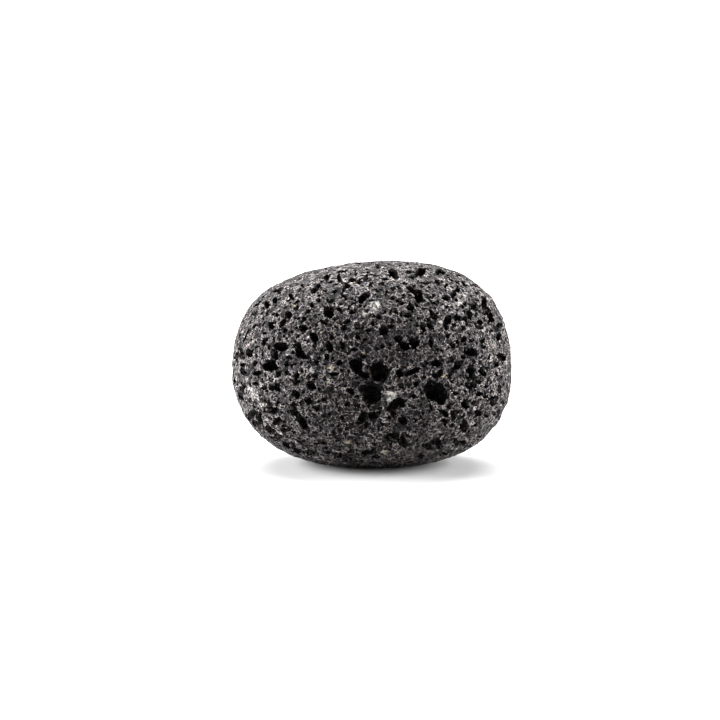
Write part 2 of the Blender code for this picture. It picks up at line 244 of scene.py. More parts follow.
    (1.0, 19.0, 1.1, 0.4, 0), (2.3, 17.3, 0.9, 0.6, 0), (-3.7, 13.0, 0.9, 0.6, 0),
    (5.5, 13.5, 0.9, 0.6, -30), (6.3, 10.6, 0.6, 0.9, 0), (4.0, 11.2, 0.9, 0.6, 0),
    (-7.8, 7.9, 0.9, 0.6, 0), (17.2, 17.9, 1.1, 0.4, -20), (16.3, 12.2, 0.9, 0.6, 0),
    (19.8, 7.8, 0.9, 0.6, -40), (17.4, 14.2, 0.9, 0.6, 0), (-23.2, 6.5, 0.9, 0.6, 0),
    (-24.8, 3.5, 1.1, 0.4, 20), (-16.8, -0.2, 0.9, 0.6, 0), (-11.4, 1.1, 0.9, 0.6, 0),
    (-28.4, 3.0, 0.9, 0.6, 0), (3.8, 0.2, 0.9, 0.6, 0), (24.9, -1.1, 0.9, 0.6, 0),
    (17.2, -4.1, 1.1, 0.4, -40), (-14.5, -15.1, 1.1, 0.4, -15), (-10.5, -11.5, 0.9, 0.6, 0),
    (-20.6, -16.9, 1.1, 0.4, 0), (-7.2, -9.5, 1.1, 0.4, 0), (1.4, -14.2, 0.6, 0.9, 0),
    (9.6, -12.2, 0.9, 0.6, 0), (5.1, -21.6, 1.1, 0.4, 0), (-3.6, -18.9, 1.1, 0.4, 0),
    (7.7, -15.8, 0.9, 0.6, 0), (21.1, -10.8, 0.9, 0.6, 0), (23.2, -16.0, 0.9, 0.6, 0),
    (24.8, -11.5, 0.9, 0.6, 0), (23.2, -3.9, 0.6, 0.9, 0), (15.9, -13.4, 0.6, 0.9, 0),
    (-24.4, 8.0, 0.6, 0.6, 0), (-3.4, 19.3, 0.9, 0.4, 0), (6.6, 14.1, 0.9, 0.4, 0),
    (1.2, 15.6, 0.9, 0.4, 0), (-6.8, 8.6, 0.6, 0.6, 0), (21.3, 8.9, 0.9, 0.4, 0),
    (-14.4, 4.9, 0.9, 0.4, 0), (-15.2, -1.7, 0.6, 0.6, 0), (1.4, 3.1, 0.6, 0.6, 0),
    (-2.8, -4.3, 0.6, 0.6, 0), (-7.6, -5.2, 0.6, 0.6, 0), (4.6, -5.2, 0.6, 0.6, 0),
    (2.7, 0.1, 0.9, 0.4, -30), (6.7, -5.2, 0.4, 0.9, 0), (17.0, 1.1, 0.9, 0.4, 0),
    (25.8, -4.2, 0.9, 0.4, 60), (27.8, -5.4, 0.9, 0.4, 0), (-13.5, -10.2, 0.9, 0.4, -50),
    (-12.4, -11.2, 0.9, 0.4, 0), (0.8, -16.3, 0.9, 0.4, 0), (-5.3, -13.4, 0.9, 0.4, 0),
    (-6.6, -14.5, 0.9, 0.4, 0), (5.5, 0.6, 0.6, 0.4, 0), (13.3, 2.7, 0.6, 0.4, 0),
    (23.5, 1.1, 0.6, 0.4, 0), (-6.8, -18.6, 0.6, 0.4, 0), (14.2, -16.4, 0.4, 0.6, 0),
)

# Bubbles strewn over the stone by rule, the largest first: their kind, the millimetres between
# them, their smallest and largest width in millimetres, how much small ones outnumber large ones,
# how many are tried on a square of that spacing, and how squarely the skin may face the eye where
# they open (2 is anywhere), which keeps the larger ones from spoiling the front and the outline
STREWN_BUBBLES = (
    ("large", 7.5, 2.4, 4.6, 2.0, 3.0, -0.20),
    ("middling", 3.0, 1.2, 2.4, 1.6, 3.0, 0.02),
    ("middling", 1.9, 0.7, 1.5, 1.5, 2.0, 0.12),
    ("small", 1.7, 0.6, 1.25, 1.5, 1.5, 2.0),
    ("small", 1.3, 0.5, 0.9, 1.2, 1.4, 2.0),
)

# Crusts of pale mineral on the front: across, up, wide and tall as for the bubbles, and how white
# and how tan they are, from 0 to 1
CRUSTS = (
    (0.5, 12.5, 3.0, 2.1, 0.72, 0.0),
    (-1.4, 10.4, 2.6, 2.0, 0.5, 0.0),
    (-3.3, 15.6, 1.8, 1.6, 0.45, 0.1),
    (3.2, 19.1, 1.5, 1.0, 0.5, 0.1),
    (1.4, 13.2, 1.5, 1.1, 0.65, 0.0),
    (18.7, 13.0, 1.3, 1.7, 0.65, 0.0),
    (20.4, 14.9, 1.3, 1.3, 0.6, 0.0),
    (19.6, 13.8, 2.6, 3.0, 0.4, 0.0),
    (-27.0, -3.8, 1.1, 2.8, 0.45, 0.0),
    (-26.3, -5.6, 1.9, 2.2, 0.55, 0.0),
    (-25.0, -7.4, 1.9, 2.2, 0.6, 0.0),
    (-24.0, -9.0, 1.5, 1.5, 0.72, 0.0),
    (-26.5, -6.3, 3.2, 4.8, 0.32, 0.0),
    (4.1, -7.1, 2.6, 2.8, 0.9, 0.0),
    (4.3, -7.5, 1.5, 1.9, 1.0, 0.0),
    (-8.8, -0.9, 1.5, 1.3, 0.7, 1.0),
    (15.5, -2.8, 1.1, 0.9, 0.3, 0.9),
    (2.7, -19.2, 1.9, 1.2, 0.8, 0.9),
    (-5.3, -17.1, 1.7, 1.0, 0.6, 0.9),
    (-0.5, -1.3, 0.9, 1.9, 0.3, 0.6),
    (-1.8, 2.2, 1.3, 0.6, 0.4, 0.8),
    (-10.1, 14.5, 0.9, 0.9, 0.4, 0.8),
    (-17.0, 12.5, 1.5, 1.1, 0.4, 0.7),
    (4.6, -12.5, 0.9, 1.3, 0.6, 0.4),
    (12.9, -19.0, 1.1, 0.9, 0.5, 0.5),
    (14.4, -20.3, 1.1, 0.9, 0.5, 0.3),
    (26.1, 4.5, 2.2, 3.0, 0.35, 0.3),
    (13.1, -15.6, 1.5, 1.1, 0.3, 0.3),
    (-12.6, 9.7, 1.9, 0.9, 0.45, 0.3),
    (-4.2, -7.6, 1.3, 0.9, 0.35, 0.2),
    (7.9, -9.7, 1.1, 1.1, 0.4, 0.2),
    (-6.8, -5.0, 1.5, 1.3, 0.25, 0.1),
)

# Crusts of the other sides, which follow a rule: how many, their widths in millimetres, their
# heights against those widths, how white they are, which share of them is tan, and how tan
OTHER_CRUSTS = 34
OTHER_CRUST_WIDTHS = (1.0, 3.2)
OTHER_CRUST_HEIGHTS = (0.6, 1.6)
OTHER_CRUST_WHITENESS = (0.3, 0.9)
TAN_SHARE = 0.3
TAN_AMOUNT = 0.8
CRUST_SEED = 5

# Half the thickness of the layer at the skin that every crust lies in, and how many times its half
# size a crust takes to run out
CRUST_DEPTH = 3.0 * MM
CRUST_EDGE = 1.5

# Foam of the finest bubbles: the width of a cell and the thickness of its walls, how strongly it
# opens, the size of the patches where its walls are rubbed, and how pale its walls are off those
# patches and on them, all lengths in millimetres
FOAMS = (
    (1.25, 0.12, 0.9, 1.6, 0.45, 1.0),
    (0.70, 0.10, 0.8, 1.1, 0.30, 1.0),
)

# How far the foam's cells are bent out of shape: the size of the bends and their reach, in
# millimetres
FOAM_BEND = (0.9, 0.55)

# How far from a foam wall's middle the wall stops being whole and where it ends, and where an open
# cell begins and where it is whole, against the wall's thickness; the spans of a cell's chance over
# which its walls grow from faint to full and over which it changes from closed to open; and how
# strong a faint wall is
WALL_SPAN = (0.35, 1.1)
CELL_SPAN = (0.8, 1.8)
WALL_CHANCES = (0.1, 0.9)
OPEN_CHANCES = (0.40, 0.55)
FAINT_WALL = 0.25

# Sizes of the other fine patterns, in millimetres. The rock's own grain is about 0.1 mm, too fine
# to show, so the specks, the grit and the grain are drawn three to four times as coarse.
SPECK_SIZE = 0.30
CRUST_GRIT_SIZE = 0.40
RELIEF_GRAIN_SIZE = 0.34
RELIEF_HEIGHT = 0.25
TINT_PATCH_SIZE = 0.8
ZONE_SIZE = 7.0

# Spans of the patterns over which specks, rubbed walls, brown patches and pale zones come in, and
# how much of its paleness the rock keeps in the least pale zone
SPECK_SPAN = (0.66, 0.76)
RUBBED_SPAN = (0.37, 0.57)
BROWN_SPAN = (0.45, 0.55)
ZONE_SPAN = (0.38, 0.62)
LEAST_ZONE = 0.75

# Colours: plain rock, rubbed walls towards violet and towards brown, the palest that bare rock
# gets, and the crusts
PLAIN_ROCK = "3f3e40"
VIOLET_WALL = "433d40"
BROWN_WALL = "46403a"
PALEST_ROCK = "bfbcb8"
CRUST_COLOURS = {"tan_crust": "b0a080", "white_crust": "dedad4"}

# Brightness of the rock in stops against its listed colours: plain, on pale walls, in open pores as
# painted shade, at the bottom of the deepest bubbles as painted shade, in creases as painted shade, and on
# rims, which are partly rubbed pale and partly a painted highlight
BASE_STOPS = -1.78
PALE_STOPS = 4.2
PORE_SHADE_STOPS = -2.6
DEEP_SHADE_STOPS = -3.2
CREASE_SHADE_STOPS = -1.2
RIM_WEAR_AND_HIGHLIGHT_STOPS = 1.3

# Depths in millimetres between which a bubble's painted shade darkens to its deepest, and bulges in
# millimetres from a crease's painted shade to a rim's paleness, which is partly wear and partly painted
# highlight
SHADE_DEPTHS = (0.2, 2.3)
BULGE_SPAN = (-0.15, 0.16)

# Clouds that darken and lighten the rock: their size in millimetres, detail, roughness, the span
# of the cloud that counts, and the stops of brightness from end to end. The two finest stand for
# the rock's grain and are drawn coarser than it is.
ROCK_CLOUDS = (
    (3.0, 3.0, 0.60, 0.35, 0.65, -0.4, 0.4),
    (0.40, 3.0, 0.65, 0.38, 0.62, -0.8, 0.7),
    (0.25, 1.0, 0.50, 0.32, 0.68, -1.4, 1.4),
)

# Crusts on the rock: how far grit shifts their edges, the span over which they take hold, the amount
# from which one is thick, the depths in millimetres between which they run out in a bubble, and how
# well they hold deep in a bubble and over an open pore
GRIT_REACH = 1.2
CRUST_SPAN = (0.25, 0.75)
THICK_CRUST = 0.9
CRUST_DEPTHS = (0.4, 1.2)
HOLD_IN_BUBBLE = 0.1
HOLD_OVER_PORE = 0.3

# Heights in the relief of rubbed walls and of grain, against the depth of an open pore
WALL_RELIEF = 0.5
GRAIN_RELIEF = 1.3

# White floor and room: the floor's radius, its colour in the light it throws up and to the eye, and
# the strength of the room's light on the stone and to the eye
FLOOR_RADIUS = 0.75
FLOOR_IN_LIGHT = "b3b3b3"
FLOOR_TO_EYE = "cbcbcb"
ROOM_IN_LIGHT = 0.16
ROOM_TO_EYE = 1.1

# Softboxes: name, place, width, depth and power in watts
SOFTBOXES = (
    ("overhead_softbox", (0.0, 0.50, 0.92), 1.2, 0.6, 34.0),
    ("left_softbox", (-0.8, 0.1, 0.30), 0.6, 0.6, 29.0),
    ("right_softbox", (0.8, 0.1, 0.30), 0.6, 0.6, 20.0),
)


def activate(piece):
    """Make one object the selected, active one."""
    bpy.ops.object.select_all(action="DESELECT")
    piece.select_set(True)
    bpy.context.view_layer.objects.active = piece


def apply_modifier(piece, kind, **settings):
    """Give a piece a modifier and apply it."""
    activate(piece)
    modifier = piece.modifiers.new(kind.lower(), kind)
    for name, value in settings.items():
        setattr(modifier, name, value)
    bpy.ops.object.modifier_apply(modifier=modifier.name)


def add_node(tree, kind, inputs=None, output=0, **settings):
    """Add a node with its settings, feed its inputs values or other nodes' outputs, and give back
    one of its outputs."""
    node = tree.nodes.new(kind)
    for name, value in settings.items():
        setattr(node, name, value)
    for name, value in (inputs or {}).items():
        if isinstance(value, bpy.types.NodeSocket):
            tree.links.new(value, node.inputs[name])
        else:
            node.inputs[name].default_value = value
    return node.outputs[output] if node.outputs else None


def hex_colour(code):
    """Linear colour of an sRGB hex value."""
    channels = [int(code[at:at + 2], 16) / 255 for at in (0, 2, 4)]
    linear = [c / 12.92 if c <= 0.04045 else ((c + 0.055) / 1.055) ** 2.4 for c in channels]
    return (*linear, 1.0)


def vertex_places(mesh):
    """Every vertex's place, as rows of an array."""
    places = np.empty(len(mesh.vertices) * 3)
    mesh.vertices.foreach_get("co", places)
    return places.reshape(-1, 3)


def roughen(piece, name, size, height, coordinates="LOCAL"):
    """Push a piece's surface in and out by a cloud pattern."""
    texture = bpy.data.textures.new(name, "CLOUDS")
    texture.noise_scale = size
    texture.noise_depth = 1
    apply_modifier(piece, "DISPLACE", texture=texture, texture_coords=coordinates, strength=height)
    bpy.data.textures.remove(texture)


def worn_hull():
    """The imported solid's outline with every bubble closed over."""
    hull = bpy.data.objects.new("worn_hull", frame["nodes"][SOLID].data.copy())
    bpy.context.scene.collection.objects.link(hull)
    activate(hull)
    bpy.ops.object.mode_set(mode="EDIT")
    bpy.ops.mesh.select_all(action="SELECT")
    bpy.ops.mesh.remove_doubles(threshold=SAME_CORNER * MM)
    bpy.ops.mesh.convex_hull()
    bpy.ops.object.mode_set(mode="OBJECT")
    return hull


def worn_skin():
    """A fine, smooth skin over the worn outline, before any bubble is opened."""
    hull = worn_hull()
    bpy.ops.object.select_all(action="DESELECT")
    bpy.ops.mesh.primitive_ico_sphere_add(subdivisions=SKIN_SUBDIVISIONS, radius=0.5, location=MIDDLE)
    skin = bpy.context.object
    skin.name = "worn_lava_stone"
    bpy.ops.transform.resize(value=SIZE)
    bpy.ops.object.transform_apply(location=True, rotation=True, scale=True)
    apply_modifier(skin, "SHRINKWRAP", target=hull, wrap_method="NEAREST_SURFACEPOINT")
    apply_modifier(skin, "SMOOTH", factor=SMOOTHING_FACTOR, iterations=SMOOTHING_PASSES)
    apply_modifier(skin, "DISPLACE", strength=SKIN_GAIN * MM, mid_level=0.0)
    bpy.data.objects.remove(hull, do_unlink=True)
    return skin


def lay_flat(stone):
    """Wear the underside level wherever it would reach below what the stone lies on."""
    places = vertex_places(stone.data)
    places[:, 2] = places[:, 2].clip(0.0)
    stone.data.vertices.foreach_set("co", places.ravel())
    stone.data.update()


def bubble_shapes(kind):
    """A collection of uneven round bubbles of radius 1, no two alike."""
    shapes = bpy.data.collections.new(kind + "_bubbles")
    bpy.context.scene.collection.children.link(shapes)
    for number in range(SHAPE_COUNT):
        bpy.ops.object.select_all(action="DESELECT")
        bpy.ops.mesh.primitive_ico_sphere_add(
            subdivisions=SHAPE_SUBDIVISIONS[kind], radius=1.0, location=(number * SHAPE_SPACING, 0.0, 0.0))
        bubble = bpy.context.object
        # the patterns read world coordinates, so each place gives another shape
        roughen(bubble, "lumps", *LUMPS, "GLOBAL")
        roughen(bubble, "dents", *DENTS, "GLOBAL")
        bubble.users_collection[0].objects.unlink(bubble)
        shapes.objects.link(bubble)
    return shapes


def seen_place(skin, across, up):
    """The place on the skin that the eye sees at so many millimetres across and up from the
    middle, the skin's normal there and the direction of sight."""
    sight = (MIDDLE + TILT @ Vector((across * MM, 0.0, up * MM)) - EYE).normalized()
    place, normal, _, _ = skin.ray_cast(EYE, sight)
    return place, normal, sight


def front_bubbles(skin):
    """Where each front bubble goes: its middle, how far it reaches, its placing and its number."""
    placed = []
    for number, (across, up, wide, tall, lean) in enumerate(FRONT_BUBBLES):
        mouth, normal, sight = seen_place(skin, across, up)
        turn = TILT @ Matrix.Rotation(-math.radians(lean), 3, "Y")
        axes = []
        for axis, width in ((turn.col[0], wide), (turn.col[2], tall)):
            # laid along the skin, so that it looks as wide from the eye as it is listed
            laid = axis - sight * axis.dot(normal) / sight.dot(normal)
            laid.length = min(laid.length, MOST_STRETCH)
            axes.append(laid * FRONT_GAIN * width / 2 * MM / RIM_SHARE)
        deep = FRONT_DEPTH * math.sqrt(wide * tall) * MM
        placing = Matrix((axes[0], -normal * deep, axes[1])).transposed().to_4x4()
        placing.translation = mouth - normal * SINK * deep
        reach = max(axes[0].length, axes[1].length, deep) * REACH_GAIN
        placed.append((placing.translation.copy(), reach, placing, number))
    return placed


def apart(bubbles):
    """Sort bubbles into groups in which none touches another."""
    groups = []
    for bubble in bubbles:
        middle, reach = bubble[:2]
        for group in groups:
            if all((middle - other[0]).length > reach + other[1] for other in group):
                group.append(bubble)
                break
        else:
            groups.append([bubble])
    return groups


def cutter_of(group, shapes):
    """One object of all the bubbles of a group."""
    copies = []
    for _, reach, placing, number in group:
        kind = "large" if reach > LARGE_REACH else "middling"
        shape = shapes[kind].objects[number % SHAPE_COUNT]
        bubble = bpy.data.objects.new("bubble", shape.data.copy())
        bpy.context.scene.collection.objects.link(bubble)
        # spun about its depth, so that copies of one shape differ
        bubble.data.transform(placing @ Matrix.Rotation(number * SPIN_STEP, 4, "Y"))
        copies.append(bubble)
    bpy.ops.object.select_all(action="DESELECT")
    for bubble in copies:
        bubble.select_set(True)
    bpy.context.view_layer.objects.active = copies[0]
    if len(copies) > 1:
        bpy.ops.object.join()
    return copies[0]


def strewn_cutter(stone, shapes, seed, spacing, smallest, largest, power, tries, most_facing):
    """One object of bubbles strewn over the stone."""
    tree = bpy.data.node_groups.new("strewn_bubbles", "GeometryNodeTree")
    tree.interface.new_socket("Geometry", in_out="INPUT", socket_type="NodeSocketGeometry")
    tree.interface.new_socket("Geometry", in_out="OUTPUT", socket_type="NodeSocketGeometry")
    points = add_node(tree, "GeometryNodeDistributePointsOnFaces", {
        "Mesh": add_node(tree, "NodeGroupInput"), "Distance Min": spacing * MM,
        "Density Max": tries / (spacing * MM) ** 2, "Seed": seed}, distribute_method="POISSON")
    normal = points.node.outputs["Normal"]
    facing = add_node(tree, "ShaderNodeVectorMath", {
        0: normal, 1: TILT @ Vector((0.0, -1.0, 0.0))}, "Value", operation="DOT_PRODUCT")
    too_square = add_node(tree, "FunctionNodeCompare", {
        0: facing, 1: most_facing}, data_type="FLOAT", operation="GREATER_THAN")
    chance = add_node(tree, "FunctionNodeRandomValue", {"Seed": seed + 1}, 1, data_type="FLOAT")
    small_first = add_node(tree, "ShaderNodeMath", {0: chance, 1: power}, operation="POWER")
    radius = add_node(tree, "ShaderNodeMapRange", {
        "Value": small_first, "To Min": smallest / 2 * MM, "To Max": largest / 2 * MM})
    down = add_node(tree, "ShaderNodeMath", {0: radius, 1: -SINK}, operation="MULTIPLY")
    sunk = add_node(tree, "ShaderNodeVectorMath", {0: normal, "Scale": down}, operation="SCALE")
    middles = add_node(tree, "GeometryNodeSetPosition", {"Geometry": points, "Offset": sunk})
    kept = add_node(tree, "GeometryNodeDeleteGeometry", {
        "Geometry": middles, "Selection": too_square}, domain="POINT")
    shape = add_node(tree, "GeometryNodeCollectionInfo", {
        "Collection": shapes, "Separate Children": True, "Reset Children": True})
    turn = add_node(tree, "FunctionNodeRandomValue", {
        "Max": (math.tau, math.tau, math.tau), "Seed": seed + 2}, data_type="FLOAT_VECTOR")
    least, greatest = STREWN_STRETCH
    stretch = add_node(tree, "FunctionNodeRandomValue", {
        "Min": least, "Max": greatest, "Seed": seed + 3}, data_type="FLOAT_VECTOR")
    size = add_node(tree, "ShaderNodeVectorMath", {0: stretch, "Scale": radius}, operation="SCALE")
    bubbles = add_node(tree, "GeometryNodeInstanceOnPoints", {
        "Points": kept, "Instance": shape, "Pick Instance": True, "Rotation": turn, "Scale": size})
    add_node(tree, "NodeGroupOutput", {0: add_node(tree, "GeometryNodeRealizeInstances", {0: bubbles})})
    cutter = stone.copy()
    cutter.data = stone.data.copy()
    bpy.context.scene.collection.objects.link(cutter)
    apply_modifier(cutter, "NODES", node_group=tree)
    return cutter


def cut(stone, cutter):
    """Take a cutter out of the stone and throw it away."""
    apply_modifier(stone, "BOOLEAN", operation="DIFFERENCE", solver="MANIFOLD", object=cutter)
    bpy.data.objects.remove(cutter, do_unlink=True)


def without_crumbs(stone):
    """The stone's one large body, without the crumbs that the bubbles cut loose."""
    activate(stone)
    bpy.ops.mesh.separate(type="LOOSE")
    bodies = sorted(bpy.context.selected_objects, key=lambda body: len(body.data.vertices))
    kept = bodies.pop()
    for crumb in bodies:
        bpy.data.objects.remove(crumb, do_unlink=True)
    kept.name = "worn_lava_stone"
    return kept


def neighbour_mean(edges, values):
    """Each vertex's mean over the vertices that it shares an edge with."""
    total = np.zeros_like(values)
    count = np.zeros(len(values))
    for near, far in ((0, 1), (1, 0)):
        np.add.at(total, edges[:, near], values[edges[:, far]])
        np.add.at(count, edges[:, near], 1)
    return (total.T / count).T


def bulges(mesh, places):
    """How far each vertex stands out from its neighbours in millimetres: rims stand out most."""
    normals = np.empty(len(mesh.vertices) * 3)
    mesh.vertices.foreach_get("normal", normals)
    edges = np.empty(len(mesh.edges) * 2, np.int32)
    mesh.edges.foreach_get("vertices", edges)
    edges = edges.reshape(-1, 2)
    outward = ((places - neighbour_mean(edges, places)) * normals.reshape(-1, 3)).sum(1) / MM
    own, shared = BULGE_SHARES
    return own * outward + shared * neighbour_mean(edges, outward)


def crust_places(skin):
    """Where each crust lies: its middle, the skin's normal, two axes along its widths with those
    widths, and how white and tan it is."""
    for across, up, wide, tall, white, tan in CRUSTS:
        middle, normal, _ = seen_place(skin, across, up)
        yield middle, normal, TILT.col[0], TILT.col[2], wide * MM, tall * MM, white, tan
    rule = random.Random(CRUST_SEED)
    for _ in range(OTHER_CRUSTS):
        heading = Vector((rule.gauss(0.0, 1.0), abs(rule.gauss(0.0, 1.0)), rule.gauss(0.0, 1.0)))
        middle, normal, _, _ = skin.ray_cast(MIDDLE, heading.normalized())
        along = normal.orthogonal().normalized()
        wide = rule.uniform(*OTHER_CRUST_WIDTHS) * MM
        tall = wide * rule.uniform(*OTHER_CRUST_HEIGHTS)
        white = rule.uniform(*OTHER_CRUST_WHITENESS)
        tan = TAN_AMOUNT if rule.random() < TAN_SHARE else 0.0
        yield middle, normal, along, normal.cross(along), wide, tall, white, tan


def crust_amounts(places, skin):
    """How much white and tan crust lies at each vertex, from 0 to 1."""
    white_crust = np.zeros(len(places))
    tan_crust = np.zeros(len(places))
    for middle, normal, along, beside, wide, tall, white, tan in crust_places(skin):
        away = places - np.array(middle)
        far = np.sqrt(
            (away @ np.array(along) * 2 / wide) ** 2
            + (away @ np.array(beside) * 2 / tall) ** 2
            + (away @ np.array(normal) / CRUST_DEPTH) ** 2)
        amount = np.clip(CRUST_EDGE - far, 0.0, 1.0)
        white_crust = np.maximum(white_crust, amount * white)
        tan_crust = np.maximum(tan_crust, amount * tan)
    return white_crust, tan_crust


def note_facts(stone, skin):
    """Store on each vertex what the rock's finish depends on."""
    mesh = stone.data
    places = vertex_places(mesh)
    white_crust, tan_crust = crust_amounts(places, skin)
    facts = {
        "depth_mm": np.array([skin.find_nearest(Vector(place))[3] for place in places]) / MM,
        "bulge_mm": bulges(mesh, places),
        "white_crust": white_crust,
        "tan_crust": tan_crust,
    }
    for name, values in facts.items():
        mesh.attributes.new(name, "FLOAT", "POINT").data.foreach_set("value", values)


def unfold(stone):
    """Lay the stone's triangles out flat as six square views of it, in two rows of three."""
    mesh = stone.data
    corners = np.empty(len(mesh.loops), np.int32)
    mesh.loops.foreach_get("vertex_index", corners)
    places = ((vertex_places(mesh) - np.array(MIDDLE)) / np.array(SIZE))[corners].reshape(-1, 3, 3)
    centres = places.mean(1)
    faces = np.arange(len(centres))
    axis = np.abs(centres).argmax(1)
    ahead = centres[faces, axis]
    view = axis + 3 * (ahead < 0)
    map_places = np.empty((len(centres), 3, 2))
    for side in range(2):
        across = places[faces, :, (axis + 1 + side) % 3] / np.abs(places[faces, :, axis])
        turned = np.arctan(across) / (math.pi / 4)
        map_places[:, :, side] = 0.5 + MAP_HALF * np.clip(turned, -MAP_LIMIT, MAP_LIMIT)
    map_places[:, :, 0] = (map_places[:, :, 0] + (view % 3)[:, None]) / 3
    map_places[:, :, 1] = (map_places[:, :, 1] + (view // 3)[:, None]) / 2
    layer = mesh.uv_layers.new(name="OFBake")
    layer.data.foreach_set("uv", map_places.ravel())


def open_stone():
    """The stone: the worn skin with all its bubbles opened, roughened and thinned to size."""
    stone = worn_skin()
    skin = BVHTree.FromObject(stone, bpy.context.evaluated_depsgraph_get())
    roughen(stone, "waves", WAVES[0] * MM, WAVES[1] * MM)
    roughen(stone, "ragged_wear", RAGGED_WEAR[0] * MM, RAGGED_WEAR[1] * MM)
    lay_flat(stone)
    shapes = {kind: bubble_shapes(kind) for kind in SHAPE_SUBDIVISIONS}
    for group in apart(front_bubbles(skin)):
        cut(stone, cutter_of(group, shapes))
    for seed, (kind, *rule) in enumerate(STREWN_BUBBLES, 1):
        cut(stone, strewn_cutter(stone, shapes[kind], seed, *rule))
    for collection in shapes.values():
        for shape in list(collection.objects):
            bpy.data.objects.remove(shape, do_unlink=True)
        bpy.data.collections.remove(collection)
    apply_modifier(stone, "TRIANGULATE")
    apply_modifier(stone, "DECIMATE", ratio=FACES_KEPT / len(stone.data.polygons))
    roughen(stone, "grain", GRAIN[0] * MM, GRAIN[1] * MM)
    stone = without_crumbs(stone)
    note_facts(stone, skin)
    unfold(stone)
    activate(stone)
    bpy.ops.object.shade_smooth_by_angle(angle=SHADED_EDGE)
    return stone


def foam(tree, place, cell, wall):
    """A foam of small bubbles: 1 on the walls that show, and 1 in the cells that lie open."""
    grid = {"Vector": place, "Scale": 1 / cell}
    to_wall = add_node(tree, "ShaderNodeTexVoronoi", grid, feature="DISTANCE_TO_EDGE")
    cell_colour = add_node(tree, "ShaderNodeTexVoronoi", grid, "Color")
    chance = add_node(tree, "ShaderNodeSeparateColor", {0: cell_colour})
    on_wall = add_node(tree, "ShaderNodeMapRange", {
        "Value": to_wall, "From Min": WALL_SPAN[0] * wall / cell, "From Max": WALL_SPAN[1] * wall / cell,
        "To Min": 1.0, "To Max": 0.0}, interpolation_type="SMOOTHSTEP")
    shown = add_node(tree, "ShaderNodeMapRange", {
        "Value": chance.node.outputs[1], "From Min": WALL_CHANCES[0], "From Max": WALL_CHANCES[1],
        "To Min": FAINT_WALL})
    walls = add_node(tree, "ShaderNodeMath", {0: on_wall, 1: shown}, operation="MULTIPLY")
    off_wall = add_node(tree, "ShaderNodeMapRange", {
        "Value": to_wall, "From Min": CELL_SPAN[0] * wall / cell, "From Max": CELL_SPAN[1] * wall / cell},
        interpolation_type="SMOOTHSTEP")
    is_open = add_node(tree, "ShaderNodeMapRange", {
        "Value": chance, "From Min": OPEN_CHANCES[0], "From Max": OPEN_CHANCES[1]},
        interpolation_type="SMOOTHSTEP")
    pores = add_node(tree, "ShaderNodeMath", {0: off_wall, 1: is_open}, operation="MULTIPLY")
    return walls, pores


def fine_structure(tree, place):
    """What all the foams show together: 1 on pale rubbed walls and specks, and 1 in open pores."""
    # the cells are bent out of their straight-sided shape
    wobble = add_node(tree, "ShaderNodeTexNoise", {
        "Vector": place, "Scale": 1 / (FOAM_BEND[0] * MM), "Detail": 2.0}, "Color")
    bent = add_node(tree, "ShaderNodeVectorMath", {
        0: wobble, 1: (FOAM_BEND[1] * MM,) * 3, 2: place}, operation="MULTIPLY_ADD")
    fine_specks = add_node(tree, "ShaderNodeTexNoise", {
        "Vector": place, "Scale": 1 / (SPECK_SIZE * MM), "Detail": 1.0})
    pale = add_node(tree, "ShaderNodeMapRange", {
        "Value": fine_specks, "From Min": SPECK_SPAN[0], "From Max": SPECK_SPAN[1]},
        interpolation_type="SMOOTHSTEP")
    hollow = 0.0
    for cell, wall, openness, patch, least, most in FOAMS:
        walls, pores = foam(tree, bent, cell * MM, wall * MM)
        patches = add_node(tree, "ShaderNodeTexNoise", {
            "Vector": place, "Scale": 1 / (patch * MM), "Detail": 3.0, "Roughness": 0.6})
        rubbed = add_node(tree, "ShaderNodeMapRange", {
            "Value": patches, "From Min": RUBBED_SPAN[0], "From Max": RUBBED_SPAN[1],
            "To Min": least, "To Max": most}, interpolation_type="SMOOTHSTEP")
        rubbed_walls = add_node(tree, "ShaderNodeMath", {0: walls, 1: rubbed}, operation="MULTIPLY")
        pale = add_node(tree, "ShaderNodeMath", {0: pale, 1: rubbed_walls}, operation="MAXIMUM")
        opened = add_node(tree, "ShaderNodeMath", {0: pores, 1: openness}, operation="MULTIPLY")
        hollow = add_node(tree, "ShaderNodeMath", {0: opened, 1: hollow}, operation="MAXIMUM")
    zones = add_node(tree, "ShaderNodeTexNoise", {
        "Vector": place, "Scale": 1 / (ZONE_SIZE * MM), "Detail": 2.0})
    zone = add_node(tree, "ShaderNodeMapRange", {
        "Value": zones, "From Min": ZONE_SPAN[0], "From Max": ZONE_SPAN[1], "To Min": LEAST_ZONE})
    return add_node(tree, "ShaderNodeMath", {0: pale, 1: zone}, operation="MULTIPLY"), hollow


